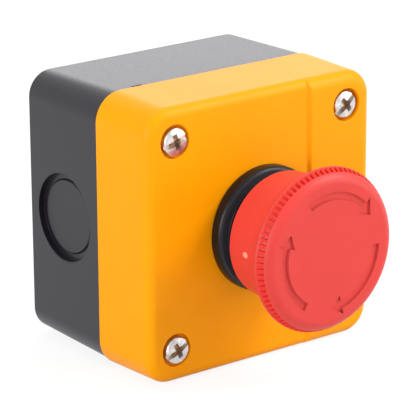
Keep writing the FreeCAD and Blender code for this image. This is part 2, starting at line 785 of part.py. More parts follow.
# Wire clamps on the strips
clamps = []
screws = []
clamp_back = strip_back - clamp_thickness
for mirror_side in (1, -1):
    for side in (-1, 1):
        x = mirror_side * block_x
        z = side * terminal_z
        half = clamp_size / 2
        clamp = bar(x - half, x + half, clamp_back, strip_back, z - half, z + half)
        clamps.append(clamp.cut(rod(terminal_screw_radius + screw_fit, clamp_back, strip_back, x, z)))
        shank = rod(terminal_screw_radius, clamp_back, strip_front + terminal_screw_grip - screw_fit, x, z)
        head_back = clamp_back - terminal_head_height
        head = rod(terminal_head_radius, head_back, clamp_back, x, z)
        screws.append(shank.fuse(head))
clamp_plates = Part.makeCompound(clamps)
terminal_screws = Part.makeCompound(screws)

return_spring = coil(return_spring_radius, return_wire_radius, spring_seat, head_roof, return_turns)
nc_spring = coil(contact_spring_radius, contact_wire_radius, block_inside, nc_bridge_back,
                 nc_turns, plunger_x)
no_spring = coil(contact_spring_radius, contact_wire_radius, block_inside, no_bridge_back,
                 no_turns, plunger_x)

# The opening contact is on the left, so its pieces are mirrored
pieces = {
    "rear_box": rear_box,
    "front_cover": front_cover,
    "lid_seal": lid_seal,
    "cover_screws": cover_screws,
    "bezel_body": bezel_body,
    "panel_gasket": panel_gasket,
    "ring_nut": ring_nut,
    "shaft_seal": shaft_seal,
    "mushroom_head": mushroom_head,
    "head_shaft": head_shaft,
    "shaft_clip": shaft_clip,
    "latch_sleeve": latch_sleeve,
    "latch_spring": latch_spring,
    "return_spring": return_spring,
    "pusher": pusher,
    "contact_carrier": contact_carrier,
    "carrier_screws": carrier_screws,
    "nc_block_case": mirrored(block_case),
    "nc_block_back": mirrored(block_lid),
    "nc_terminals": mirrored(Part.makeCompound(nc_strips)),
    "nc_plunger": mirrored(nc_plunger),
    "nc_bridge": mirrored(nc_bridge),
    "nc_spring": mirrored(nc_spring),
    "no_block_case": block_case,
    "no_block_back": block_lid,
    "no_terminals": Part.makeCompound(no_strips),
    "no_plunger": no_plunger,
    "no_bridge": no_bridge,
    "no_spring": no_spring,
    "clamp_plates": clamp_plates,
    "terminal_screws": terminal_screws,
}

os.makedirs("parts", exist_ok=True)
for name, shape in pieces.items():
    shape.exportStep("parts/" + name + ".step")
    print(name, len(shape.Solids), round(shape.Volume, 2), shape.isValid())
print("base depth", round(base_depth, 3), "front", round(front, 3), "head face", round(head_face, 3))
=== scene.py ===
# %% [markdown]
# # An emergency stop station
# The object is a small wall box with a red mushroom button. It comes from the CAD as separate
# solids, and this lesson dresses them: it keeps every size and adds soft edges, fine moulded
# grain, screws with their recesses and the marks on the button.
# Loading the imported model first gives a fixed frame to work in. Everything is in metres, X runs
# to the right, Z up, and the button looks along -Y.

import math

import bmesh
import bpy
from mathutils import Matrix, Vector


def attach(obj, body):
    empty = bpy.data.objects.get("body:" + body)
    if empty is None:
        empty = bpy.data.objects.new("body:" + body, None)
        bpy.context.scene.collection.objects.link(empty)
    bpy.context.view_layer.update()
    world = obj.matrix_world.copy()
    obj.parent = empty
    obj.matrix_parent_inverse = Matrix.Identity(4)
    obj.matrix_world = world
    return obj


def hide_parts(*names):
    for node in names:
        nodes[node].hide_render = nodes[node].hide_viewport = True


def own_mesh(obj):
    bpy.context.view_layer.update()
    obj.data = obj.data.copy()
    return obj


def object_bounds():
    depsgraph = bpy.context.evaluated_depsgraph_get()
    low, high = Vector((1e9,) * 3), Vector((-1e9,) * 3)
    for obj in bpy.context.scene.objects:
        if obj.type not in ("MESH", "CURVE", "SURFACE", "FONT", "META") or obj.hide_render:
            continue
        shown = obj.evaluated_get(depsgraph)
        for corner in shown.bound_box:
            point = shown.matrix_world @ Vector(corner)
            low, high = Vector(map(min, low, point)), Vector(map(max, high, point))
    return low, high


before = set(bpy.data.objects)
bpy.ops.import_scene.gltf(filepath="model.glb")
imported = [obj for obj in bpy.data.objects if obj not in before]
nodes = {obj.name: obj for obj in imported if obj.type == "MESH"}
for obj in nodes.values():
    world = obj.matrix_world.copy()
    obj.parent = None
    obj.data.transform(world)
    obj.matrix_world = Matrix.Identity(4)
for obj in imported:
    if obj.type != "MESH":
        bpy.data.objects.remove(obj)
cad_box = [list(corner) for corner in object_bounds()]
scene = bpy.context.scene
scene.view_settings.view_transform = "Standard"

# %% [markdown]
# ## The camera
# A camera can be placed by eye, but here its place was worked out beforehand from points on the
# box and the button. It stands to the left of the front and looks down a little, through a long
# lens. A camera looks along its own -Z, so its matrix has its right, its up and its back as
# columns.

# %% Camera
MM = 0.001
CAMERA_SIDE = math.radians(-37.576)
CAMERA_RISE = math.radians(17.992)
CAMERA_ROLL = math.radians(-0.304)
CAMERA_AWAY = 640.248 * MM
CAMERA_LENS, CAMERA_SENSOR = 225.02, 36.0
LOOK_AT = Vector((-0.514, -29.473, -0.573)) * MM


def make_camera():
    """The photograph's camera."""
    back = Vector((math.sin(CAMERA_SIDE) * math.cos(CAMERA_RISE),
                   -math.cos(CAMERA_SIDE) * math.cos(CAMERA_RISE),
                   math.sin(CAMERA_RISE)))
    level = Vector((math.cos(CAMERA_SIDE), math.sin(CAMERA_SIDE), 0))
    upright = back.cross(level)
    right = level * math.cos(CAMERA_ROLL) + upright * math.sin(CAMERA_ROLL)
    up = upright * math.cos(CAMERA_ROLL) - level * math.sin(CAMERA_ROLL)
    place = Matrix((right, up, back)).transposed().to_4x4()
    place.translation = LOOK_AT + back * CAMERA_AWAY
    data = bpy.data.cameras.new("camera")
    data.lens = CAMERA_LENS
    data.sensor_width = CAMERA_SENSOR
    data.clip_start = 0.01
    data.clip_end = 20.0
    camera = bpy.data.objects.new("camera", data)
    scene.collection.objects.link(camera)
    camera.matrix_world = place
    return camera


scene.camera = make_camera()
print("camera at", [round(value, 3) for value in scene.camera.location])

# %% [markdown]
# ## The floor
# The box stands on a white floor under soft lamps. A floor that is only lit turns grey, and more
# light would bleach the box. So rays from the camera see the floor glow by itself, with a share
# of lit white left in it that keeps the shadow. The same goes for rays that mirror the floor.
# All other rays meet a matt floor that throws some light back.


# %% Floor
def add_node(tree, kind, **settings):
    """A new node, with its properties set by name."""
    made = tree.nodes.new(kind)
    for key, value in settings.items():
        setattr(made, key, value)
    return made


def empty_tree(owner):
    """The node tree of a material or a world, with nothing in it."""
    owner.use_nodes = True
    owner.node_tree.nodes.clear()
    return owner.node_tree


def seen_rays(tree):
    """1 for rays that come from the camera or by way of a mirror or glass, otherwise 0."""
    path = add_node(tree, "ShaderNodeLightPath")
    mirrored = add_node(tree, "ShaderNodeMath", operation="MAXIMUM")
    seen = add_node(tree, "ShaderNodeMath", operation="MAXIMUM")
    link = tree.links.new
    link(path.outputs["Is Glossy Ray"], mirrored.inputs[0])
    link(path.outputs["Is Transmission Ray"], mirrored.inputs[1])
    link(path.outputs["Is Camera Ray"], seen.inputs[0])
    link(mirrored.outputs[0], seen.inputs[1])
    return seen.outputs[0]


def choose_by_ray(tree, lighting, seen, out):
    """One shader for rays that light the box, and another for rays that are seen."""
    choice = add_node(tree, "ShaderNodeMixShader")
    link = tree.links.new
    link(seen_rays(tree), choice.inputs[0])
    link(lighting.outputs[0], choice.inputs[1])
    link(seen.outputs[0], choice.inputs[2])
    link(choice.outputs[0], out.inputs["Surface"])


def matt_grey(tree, share):
    """A matt shader that throws back a share of the light."""
    made = add_node(tree, "ShaderNodeBsdfDiffuse")
    made.inputs["Color"].default_value = (share, share, share, 1)
    return made


FLOOR_HALF = 4.0
FLOOR_GLOW, FLOOR_LIT, FLOOR_BOUNCE = 0.86, 0.2, 0.6


def make_floor():
    """A wide white floor just under the box."""
    low = cad_box[0][2]
    corners = ((-1, -1), (1, -1), (1, 1), (-1, 1))
    mesh = bpy.data.meshes.new("floor")
    mesh.from_pydata([(x * FLOOR_HALF, y * FLOOR_HALF, low) for x, y in corners], [], [(0, 1, 2, 3)])
    floor = bpy.data.objects.new("floor", mesh)
    scene.collection.objects.link(floor)
    material = bpy.data.materials.new("white_floor")
    tree = empty_tree(material)
    glow = add_node(tree, "ShaderNodeEmission")
    glow.inputs["Strength"].default_value = FLOOR_GLOW
    both = add_node(tree, "ShaderNodeAddShader")
    tree.links.new(matt_grey(tree, FLOOR_LIT).outputs[0], both.inputs[0])
    tree.links.new(glow.outputs[0], both.inputs[1])
    out = add_node(tree, "ShaderNodeOutputMaterial")
    choose_by_ray(tree, matt_grey(tree, FLOOR_BOUNCE), both, out)
    mesh.materials.append(material)


make_floor()
print("floor at", round(cad_box[0][2] / MM, 2), "mm")

# %% [markdown]
# ## The surround
# A white studio surrounds the box. It is seen as pure white, also in the gloss of the plastic, but
# at that strength it would wash out every shadow. So the light that it gives is weaker, by the same
# choice of rays.

# %% World
WORLD_LIGHT, WORLD_SEEN = 0.48, 1.0


def white_surround(tree, strength):
    """An even white background of one strength."""
    made = add_node(tree, "ShaderNodeBackground")
    made.inputs["Color"].default_value = (1, 1, 1, 1)
    made.inputs["Strength"].default_value = strength
    return made


def make_world():
    """A white surround for what is seen, and a softer one for the light that it gives."""
    world = bpy.data.worlds.new("studio")
    scene.world = world
    tree = empty_tree(world)
    out = add_node(tree, "ShaderNodeOutputWorld")
    choose_by_ray(tree, white_surround(tree, WORLD_LIGHT), white_surround(tree, WORLD_SEEN), out)


make_world()
print("world", scene.world.name)

# %% [markdown]
# ## The lamps
# Soft boxes are large area lamps. In the photograph the button shades the front to its lower left,
# so the key stands high in front on the right. A broad lamp hangs above, one lights the left side,
# and a weak one low on the right puts a sheen on the button's face. The fifth stands low behind,
# where the camera sees it mirrored at a flat angle in the upper side, and gives the dark top its
# sheen.

# %% Lamps
MIDDLE = Vector((0, -0.035, 0))
# Name, place and size in metres, and power in watts
LAMPS = (
    ("key_lamp", (0.75, -0.75, 0.85), (0.5, 0.5), 10.0),
    ("top_lamp", (0.1, 0.2, 0.9), (1.0, 0.7), 3.2),
    ("back_lamp", (0.69, 0.9, 0.37), (0.8, 0.5), 2.4),
    ("left_lamp", (-1.0, -0.36, 0.2), (0.7, 0.6), 8.0),
    ("right_lamp", (0.85, -0.75, 0.12), (0.6, 0.6), 3.4),
)


def soft_box(name, place, size, power):
    """A rectangular area lamp that looks at the middle of the object."""
    data = bpy.data.lights.new(name, "AREA")
    data.shape = "RECTANGLE"
    data.size, data.size_y = size
    data.energy = power
    lamp = bpy.data.objects.new(name, data)
    scene.collection.objects.link(lamp)
    lamp.location = place
    lamp.rotation_mode = "QUATERNION"
    lamp.rotation_quaternion = (MIDDLE - Vector(place)).to_track_quat("-Z", "Y")


for lamp_row in LAMPS:
    soft_box(*lamp_row)

# %% [markdown]
# ## Colours and noises
# A material is a tree of nodes. The helpers here add a node or two each: a noise, a map of its middle
# range, a mix of two colours and a bump. Every noise reads the object's own coordinates, so that its
# pattern stays with a piece that moves. Shaders reckon with linear colours, but colours are picked on
# a screen, so the first helper turns one into the other.

# %% Material helpers
NOISE_LOW, NOISE_HIGH = 0.3, 0.7


def linear(red, green, blue):
    """A screen colour, 0 to 255, as the linear colour that shaders use."""
    values = []
    for value in (red, green, blue):
        share = value / 255
        values.append(share / 12.92 if share <= 0.04045 else ((share + 0.055) / 1.055) ** 2.4)
    return values


def new_material(name):
    """An empty node material with one Principled shader."""
    material = bpy.data.materials.new(name)
    tree = empty_tree(material)
    out = add_node(tree, "ShaderNodeOutputMaterial")
    shader = add_node(tree, "ShaderNodeBsdfPrincipled")
    tree.links.new(shader.outputs[0], out.inputs["Surface"])
    return material, tree, shader


def noise(tree, scale, detail=2.0):
    """A noise on Object coordinates, with so many waves to the metre."""
    place = add_node(tree, "ShaderNodeTexCoord")
    made = add_node(tree, "ShaderNodeTexNoise")
    made.inputs["Scale"].default_value = scale
    made.inputs["Detail"].default_value = detail
    tree.links.new(place.outputs["Object"], made.inputs["Vector"])
    return made.outputs["Fac"]


def feed(tree, value, socket):
    """Sets an input to a plain number, or links another node's output to it."""
    if isinstance(value, (int, float)):
        socket.default_value = value
    else:
        tree.links.new(value, socket)


def map_range(tree, value, begin, stop, low=0.0, high=1.0):
    """A value mapped from one range to another and held beyond its ends."""
    made = add_node(tree, "ShaderNodeMapRange")
    names = ("Value", "From Min", "From Max", "To Min", "To Max")
    for name, given in zip(names, (value, begin, stop, low, high)):
        feed(tree, given, made.inputs[name])
    return made.outputs["Result"]


def spread(tree, source, low, high):
    """The noise's middle range mapped to two values."""
    return map_range(tree, source, NOISE_LOW, NOISE_HIGH, low, high)


def colour_mix(tree, where):
    """A mix of two colours by a value: its two inputs and its result."""
    made = add_node(tree, "ShaderNodeMix", data_type="RGBA")
    tree.links.new(where, made.inputs[0])
    first, second = [socket for socket in made.inputs if socket.type == "RGBA"]
    return first, second, next(socket for socket in made.outputs if socket.type == "RGBA")


def tint(tree, source, dark, light):
    """A colour between two, chosen by a noise."""
    first, second, result = colour_mix(tree, source)
    first.default_value = (*dark, 1)
    second.default_value = (*light, 1)
    return result


def relief(tree, source, depth):
    """A bump of so many millimetres from a noise."""
    made = add_node(tree, "ShaderNodeBump")
    made.inputs["Distance"].default_value = depth * MM
    tree.links.new(source, made.inputs["Height"])
    return made.outputs["Normal"]


print("middle grey is", round(linear(128, 128, 128)[0], 3), "as a linear colour")

# %% [markdown]
# ## Moulded plastic
# The box, the cover and the button are injection moulded. Up close such a surface has a fine
# grain from the mould, a slow drift of shade where the melt flowed, and gloss that changes from
# place to place. A flat colour has none of these, so two noises give them: a slow one for the shade
# and a fine one for gloss and bump. A second colour can lie over the first. On the collar it is a
# painted grey sheen on the shoulder behind the button, which lies in the button's shade, and the
# object's own normals say which faces look to the front. The black of the box has a faint violet in
# its gloss.

# %% Moulded plastic
SHADE_WAVES = 55.0
GLOSS_DRIFT = 0.05
FRONT_FADES_IN, FRONT_IS_FULL = -0.75, -0.98


def plastic(name, screen_colour, roughness, grain, depth, specular=0.5, drift=0.05):
    """Plastic with a grain of so many waves to the metre and so many millimetres deep."""
    material, tree, shader = new_material(name)
    colour = linear(*screen_colour)
    slow = spread(tree, noise(tree, SHADE_WAVES), 0.0, 1.0)
    fine = noise(tree, grain, detail=3.0)
    dark = [value * (1 - drift) for value in colour]
    light = [value * (1 + drift) for value in colour]
    tree.links.new(tint(tree, slow, dark, light), shader.inputs["Base Color"])
    gloss = spread(tree, fine, roughness - GLOSS_DRIFT, roughness + GLOSS_DRIFT)
    tree.links.new(gloss, shader.inputs["Roughness"])
    tree.links.new(relief(tree, fine, depth), shader.inputs["Normal"])
    shader.inputs["Specular IOR Level"].default_value = specular
    return material


def shader_of(material):
    """The Principled shader of a material."""
    return material.node_tree.nodes["Principled BSDF"]


def overlay(material, where, colour):
    """A second colour over a material's own, as far as a value says."""
    tree = material.node_tree
    base = shader_of(material).inputs["Base Color"]
    own, second, result = colour_mix(tree, where)
    second.default_value = (*colour, 1)
    tree.links.new(base.links[0].from_socket, own)
    tree.links.new(result, base)


def facing_front(tree):
    """1 on faces that look to the front, and 0 on faces that look to a side."""
    look = add_node(tree, "ShaderNodeSeparateXYZ")
    tree.links.new(add_node(tree, "ShaderNodeTexCoord").outputs["Normal"], look.inputs[0])
    return map_range(tree, look.outputs["Y"], FRONT_FADES_IN, FRONT_IS_FULL)


black_shell = plastic("black_shell", (13, 11, 18), roughness=0.38, grain=2600, depth=0.012, specular=0.57)
shader_of(black_shell).inputs["Specular Tint"].default_value = (0.96, 0.92, 1, 1)
half_gloss = {"roughness": 0.42, "grain": 2200, "depth": 0.006, "drift": 0.03}
yellow_shell = plastic("yellow_shell", (253, 163, 0), specular=0.13, **half_gloss)
red_cap = plastic("red_cap", (220, 63, 57), specular=0.3, **half_gloss)
bezel_black = plastic("bezel_black", (18, 17, 20), roughness=0.34, grain=2600, depth=0.006, specular=0.25)
# Painted sheen: the collar's faces that look to the front, its shoulder in the button's shade, get a
# lighter grey
overlay(bezel_black, facing_front(bezel_black.node_tree), linear(54, 54, 61))
print("plastics", [made.name for made in (black_shell, yellow_shell, red_cap, bezel_black)])

# %% [markdown]
# ## Soft edges
# The CAD solids have the right forms, but their edges are knife sharp, and no moulding is. A
# rounded edge catches a thin line of light, and that line tells the eye that a thing is real.
# The CAD mesh is loose triangles, so a copy is merged first and its flat triangles are joined.
# Then a Bevel rounds every corner that is sharper than an angle, and Weighted Normal keeps the
# large faces flat in shading. Loop Slide is off, so that the bevel keeps its width where a long
# edge of a large face happens to end on a hole's rim.

# %% Copies with soft edges
SHARP_CORNER = math.radians(28)
FLAT_ENOUGH = math.radians(0.5)
SAME_PLACE = 0.001 * MM


def mesh_of(form, name):
    """A new mesh from an edited form, which is freed."""
    mesh = bpy.data.meshes.new(name)
    form.to_mesh(mesh)
    form.free()
    return mesh


def settled(maker):
    """The plain mesh that an object's modifiers give. The object goes."""
    scene.collection.objects.link(maker)
    graph = bpy.context.evaluated_depsgraph_get()
    mesh = bpy.data.meshes.new_from_object(maker.evaluated_get(graph))
    bpy.data.objects.remove(maker)
    return mesh


def soft_copy(node, width, steps, share=lambda point: 1.0, clamped=False):
    """A CAD solid with its triangles joined and its edges rounded by a share of so many millimetres."""
    form = bmesh.new()
    form.from_mesh(nodes[node].data)
    bmesh.ops.remove_doubles(form, verts=form.verts, dist=SAME_PLACE)
    bmesh.ops.dissolve_limit(form, angle_limit=FLAT_ENOUGH, verts=form.verts, edges=form.edges)
    for face in form.faces:
        face.smooth = True
    weight = form.edges.layers.float.new("bevel_weight_edge")
    for edge in form.edges:
        if edge.calc_face_angle(0) > SHARP_CORNER:
            edge[weight] = min(share(vert.co / MM) for vert in edge.verts)
            edge.smooth = edge[weight] > 0
    maker = bpy.data.objects.new("maker", mesh_of(form, node + "_form"))
    bevel = maker.modifiers.new("edges", "BEVEL")
    bevel.width = width * MM
    bevel.segments = steps
    bevel.limit_method = "WEIGHT"
    bevel.use_clamp_overlap = clamped
    bevel.loop_slide = False
    shading = maker.modifiers.new("shading", "WEIGHTED_NORMAL")
    shading.keep_sharp = True
    return settled(maker)


print("corners over", round(math.degrees(SHARP_CORNER)), "degrees are rounded")

# %% [markdown]
# ## The two halves of the box and the operator's collar
# These three are the large mouldings that show. Bevel weights leave out the two ends of the wall at
# the cover's raised panel, where it runs out in the cover's own rounding and is shorter than the
# bevel. They also give the small steps of the knockouts, the round discs in the sides, a smaller
# bevel. Each finished piece rides on a body of the model and stands for the CAD solid it replaces.

# %% Shells
PANEL_WALL_FROM, PANEL_WALL_TO = 13.9, 15.1
PANEL_END, PANEL_WALL_DEPTH = 31.5, 47.4
KNOCKOUT_SIDE, KNOCKOUT_DEPTH, KNOCKOUT_RADIUS = 28.0, 15.1, 12.0
KNOCKOUT_SHARE = 0.2


def cover_share(point):
    """No rounding where the wall of the raised panel runs out. The point is in millimetres."""
    in_wall = PANEL_WALL_FROM < point.x < PANEL_WALL_TO and -point.y > PANEL_WALL_DEPTH
    return 0.0 if in_wall and abs(point.z) > PANEL_END else 1.0


def box_share(point):
    """Little rounding in the knockouts, where the steps are small."""
    off_centre = math.hypot(point.y + KNOCKOUT_DEPTH, point.z)
    knockout = abs(point.x) > KNOCKOUT_SIDE and off_centre < KNOCKOUT_RADIUS
    return KNOCKOUT_SHARE if knockout else 1.0


def put(name, mesh, material, body, slot, *stands_for):
    """A finished piece that rides on a body and stands for CAD nodes."""
    piece = bpy.data.objects.new(name, mesh)
    scene.collection.objects.link(piece)
    mesh.name = name
    mesh.materials.clear()
    mesh.materials.append(material)
    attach(piece, body)
    if stands_for:
        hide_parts(*stands_for)
    print(name, len(mesh.polygons), "faces on", body)
    return piece


box_form = soft_copy("rear_box", width=0.22, steps=2, share=box_share)
put("box_shell", box_form, black_shell, "station", "black_plastic", "rear_box")
cover_form = soft_copy("front_cover", width=0.25, steps=3, share=cover_share)
put("cover_shell", cover_form, yellow_shell, "station", "yellow_plastic", "front_cover")
body_form = soft_copy("bezel_body", width=0.2, steps=3)
put("operator_body", body_form, bezel_black, "station", "bezel_plastic", "bezel_body")

# %% [markdown]
# ## Turned forms
# The button and the screws are bodies of revolution. A profile of radius and depth pairs, spun round
# the axis, gives such a form in one go, and arcs in the profile keep its curves round. The spin
# leaves a seam of double points, so they are merged, and the open ends are closed with flat faces.

# %% Profiles and how to turn them
SEAM_GAP = 0.0005 * MM


def bend(middle, radius, start, end, steps=8):
    """Points on an arc round a middle, from one angle to another in degrees, in millimetres."""
    turns = [math.radians(start + (end - start) * index / steps) for index in range(steps + 1)]
    return [(middle[0] + radius * math.cos(turn), middle[1] + radius * math.sin(turn)) for turn in turns]


def sweep(first, lead, follow, last, steps=12):
    """Points on a smooth curve between two points, pulled towards two others."""
    points = []
    for index in range(steps + 1):
        t = index / steps
        weights = ((1 - t) ** 3, 3 * t * (1 - t) ** 2, 3 * t * t * (1 - t), t ** 3)
        pairs = (first, lead, follow, last)
        points.append(tuple(sum(w * p[axis] for w, p in zip(weights, pairs)) for axis in (0, 1)))
    return points


def turned(points, steps):
    """A profile of radius and depth pairs in millimetres, spun round the button's axis."""
    form = bmesh.new()
    line = [form.verts.new((radius * MM, -depth * MM, 0)) for radius, depth in points]
    edges = [form.edges.new(pair) for pair in zip(line, line[1:])]
    bmesh.ops.spin(form, geom=line + edges, cent=(0, 0, 0), axis=(0, 1, 0), angle=2 * math.pi, steps=steps)
    bmesh.ops.remove_doubles(form, verts=form.verts, dist=SEAM_GAP)
    bmesh.ops.holes_fill(form, edges=[edge for edge in form.edges if edge.is_boundary])
    bmesh.ops.recalc_face_normals(form, faces=form.faces)
    for face in form.faces:
        face.smooth = True
    return form


print("half a circle has", len(bend((0, 0), 1.0, 0, 180)), "points")

# %% [markdown]
# ## The button's form
# From the inside out, the profile goes round the bore for the shaft and the boss round it, along the
# roof and down inside the skirt. Outside it climbs the skirt, which flares a little, a cove under
# the rim, a narrow ridge and a flat dome. Behind the dome it dips into a groove with a low step at
# its back and a sloping floor, which the grip's teeth fill later.

# %% Button
BORE_RADIUS, BORE_END = 4.06, 72.64
BOSS_RADIUS, BOSS_END = 6.0, 65.6
ROOF_RADIUS, ROOF_DEPTH = 16.45, 71.04
SKIRT_INNER, SKIRT_OUTER, SKIRT_EDGE = 14.15, 15.5, 57.0
SKIRT_BEVEL, SKIRT_ROUND = 0.15, 0.35
COVE_RADIUS, COVE_NECK, COVE_START, COVE_TURN = 8.25, 16.1, 65.0, 56.1
HEAD_RADIUS, FACE_RADIUS, FACE_DEPTH = 20.0, 16.6, 75.84
RIM_CORNER = (19.86, 71.87)
RIM_BACK, RIM_FRONT, RIM_ROUND = 72.12, 72.9, 0.25
GRIP_BACK, GRIP_FRONT = 72.75, 74.4
GRIP_STEP, GRIP_STEP_RISE, GRIP_ROOT = 19.45, 0.15, 18.05
DOME_LEAD, DOME_FOLLOW = (19.6, 73.9), (18.6, FACE_DEPTH)
LIP_IN, LIP_AHEAD = 0.02, 0.03
HEAD_STEPS = 336

dome = sweep((HEAD_RADIUS, RIM_FRONT), DOME_LEAD, DOME_FOLLOW, (FACE_RADIUS, FACE_DEPTH), 24)
dome_start = next(index for index, pair in enumerate(dome) if pair[1] > GRIP_FRONT + LIP_AHEAD)
profile = [
    (BORE_RADIUS, BORE_END), (BORE_RADIUS, BOSS_END), (BOSS_RADIUS, BOSS_END), (BOSS_RADIUS, ROOF_DEPTH),
    (ROOF_RADIUS, ROOF_DEPTH), (SKIRT_INNER, COVE_START), (SKIRT_INNER, SKIRT_EDGE + SKIRT_BEVEL),
    (SKIRT_INNER + SKIRT_BEVEL, SKIRT_EDGE)]
profile += bend((SKIRT_OUTER - SKIRT_ROUND, SKIRT_EDGE + SKIRT_ROUND), SKIRT_ROUND, -90, 0, 4)
profile += bend((COVE_NECK + COVE_RADIUS, COVE_START), COVE_RADIUS, 180, 180 - COVE_TURN, 12)
profile += [RIM_CORNER] + bend((HEAD_RADIUS - RIM_ROUND, RIM_BACK), RIM_ROUND, -50, 0, 4)
profile += [(HEAD_RADIUS, GRIP_BACK), (GRIP_STEP, GRIP_BACK + GRIP_STEP_RISE), (GRIP_ROOT, GRIP_FRONT)]
profile += [(dome[dome_start][0] - LIP_IN, GRIP_FRONT)] + dome[dome_start:]
head_form = turned(profile, HEAD_STEPS)
print("button form", len(head_form.faces), "faces")

# %% [markdown]
# ## Three arrows sunk in the face
# The arrows that show the way to turn are sunk half a millimetre. Drawn as colour they would
# vanish in the photograph's light, because only the walls of the recess show, so they are cut: an
# arc with a barbed head is drawn three times round the face, given some height, and taken away
# from the button with a Boolean.

# %% Arrows
ARROW_INNER, ARROW_OUTER = 12.9, 14.8
ARROW_TAIL, ARROW_TIP, ARROW_BARB = 117.5, 30.4, 13.5
BARB_INNER, BARB_OUTER = 11.4, 16.3
ARROW_DEPTH, ARROW_BLOCK = 0.55, 2.0


def around(radius, angle):
    """A point at a radius and an angle in degrees."""
    turn = math.radians(angle)
    return radius * math.cos(turn), radius * math.sin(turn)


def arrow_outline(turn):
    """One arrow as pairs of X and Z in millimetres, turned round the face."""
    tail = ARROW_TAIL + turn
    tip = ARROW_TIP + turn
    barb = tip + ARROW_BARB
    pairs = bend((0, 0), ARROW_OUTER, tail, barb, 24)
    middle = (ARROW_INNER + ARROW_OUTER) / 2
    pairs += [around(BARB_OUTER, barb), around(middle, tip), around(BARB_INNER, barb)]
    return pairs + bend((0, 0), ARROW_INNER, barb, tail, 24)


def extrude(form, face, step):
    """Draws a face out into a block, by a step in millimetres."""
    made = bmesh.ops.extrude_face_region(form, geom=[face])["geom"]
    corners = [item for item in made if isinstance(item, bmesh.types.BMVert)]
    bmesh.ops.translate(form, vec=Vector(step) * MM, verts=corners)
    bmesh.ops.recalc_face_normals(form, faces=form.faces)


def arrow_blocks():
    """The three arrows as blocks that reach out of the face."""
    form = bmesh.new()
    floor = -(FACE_DEPTH - ARROW_DEPTH)
    for turn in (0, 120, 240):
        outline = [form.verts.new((x * MM, floor * MM, z * MM)) for x, z in arrow_outline(turn)]
        extrude(form, form.faces.new(outline), (0, -ARROW_BLOCK, 0))
    return mesh_of(form, "arrow_blocks")


def cut_away(mesh, blocks, overlapping=False, weighted=False):
    """A mesh with blocks taken away from it, and its shading weighted by its faces if asked."""
    cutter = bpy.data.objects.new("cutter", blocks)
    scene.collection.objects.link(cutter)
    maker = bpy.data.objects.new("maker", mesh)
    cut = maker.modifiers.new("cut", "BOOLEAN")
    cut.operation = "DIFFERENCE"
    cut.solver = "EXACT"
    cut.use_self = overlapping
    cut.object = cutter
    if weighted:
        maker.modifiers.new("shading", "WEIGHTED_NORMAL")
    result = settled(maker)
    bpy.data.objects.remove(cutter)
    return result


head_cut = cut_away(mesh_of(head_form, "head"), arrow_blocks(), weighted=True)
put("button_head", head_cut, red_cap, "button", "red_plastic", "mushroom_head")

# %% [markdown]
# ## The grip round the rim
# Eighty-four notches with sloping floors are cut in front of the ridge, so that a wet hand can turn
# the button. Cutting each of them with a Boolean is slow. The groove is there already, so it is
# enough to fill it with the eighty-four teeth between the notches. They are one shape that repeats,
# which is what Geometry Nodes are for: one tooth is modelled at the right of the rim, and a tree
# with named inputs sets copies of it on points that lie on the axis, each turned a step further.
# Realize Instances makes them real mesh.


# %% A tree that repeats a piece round the axis
def new_tree(name, *sizes):
    """An empty Geometry Nodes tree with named inputs, and its first and last node."""
    tree = bpy.data.node_groups.new(name, "GeometryNodeTree")
    tree.interface.new_socket(name="Geometry", in_out="INPUT", socket_type="NodeSocketGeometry")
    for title, kind in sizes:
        tree.interface.new_socket(name=title, in_out="INPUT", socket_type="NodeSocket" + kind)
    tree.interface.new_socket(name="Geometry", in_out="OUTPUT", socket_type="NodeSocketGeometry")
    return tree, add_node(tree, "NodeGroupInput"), add_node(tree, "NodeGroupOutput")


def finish_tree(tree, instances, material, end):
    """Real mesh from instances, with its material."""
    real = add_node(tree, "GeometryNodeRealizeInstances")
    dressed = add_node(tree, "GeometryNodeSetMaterial")
    link = tree.links.new
    link(instances, real.inputs["Geometry"])
    link(real.outputs["Geometry"], dressed.inputs["Geometry"])
    link(material, dressed.inputs["Material"])
    link(dressed.outputs["Geometry"], end.inputs["Geometry"])


def set_copies(tree, start, points, turn, end):
    """Copies of the tree's Piece on points, each turned about the button's axis."""
    angles = add_node(tree, "ShaderNodeCombineXYZ")
    piece = add_node(tree, "GeometryNodeObjectInfo", transform_space="ORIGINAL")
    copies = add_node(tree, "GeometryNodeInstanceOnPoints")
    link = tree.links.new
    link(turn, angles.inputs["Y"])
    link(start.outputs["Piece"], piece.inputs["Object"])
    link(points, copies.inputs["Points"])
    link(piece.outputs["Geometry"], copies.inputs["Instance"])
    link(angles.outputs[0], copies.inputs["Rotation"])
    finish_tree(tree, copies.outputs["Instances"], start.outputs["Finish"], end)


def ring_tree():
    """Copies of a piece, turned in equal steps about the button's axis."""
    tree, start, end = new_tree("round_the_axis", ("Count", "Int"), ("Piece", "Object"),
                                ("Finish", "Material"))
    points = add_node(tree, "GeometryNodePoints")
    index = add_node(tree, "GeometryNodeInputIndex")
    share = add_node(tree, "ShaderNodeMath", operation="DIVIDE")
    turn = add_node(tree, "ShaderNodeMath", operation="MULTIPLY")
    turn.inputs[1].default_value = 2 * math.pi
    link = tree.links.new
    link(start.outputs["Count"], points.inputs["Count"])
    link(index.outputs[0], share.inputs[0])
    link(start.outputs["Count"], share.inputs[1])
    link(share.outputs[0], turn.inputs[0])
    set_copies(tree, start, points.outputs[0], turn.outputs[0], end)
    return tree


def grown(tree, seed, **sizes):
    """The plain mesh that a tree grows from a seed mesh and named sizes."""
    maker = bpy.data.objects.new("maker", seed)
    grower = maker.modifiers.new("grow", "NODES")
    grower.node_group = tree
    for item in tree.interface.items_tree:
        if item.in_out == "INPUT" and item.name in sizes:
            grower[item.identifier] = sizes[item.name]
    return settled(maker)


round_the_axis = ring_tree()
print("a tree of", len(round_the_axis.nodes), "nodes")

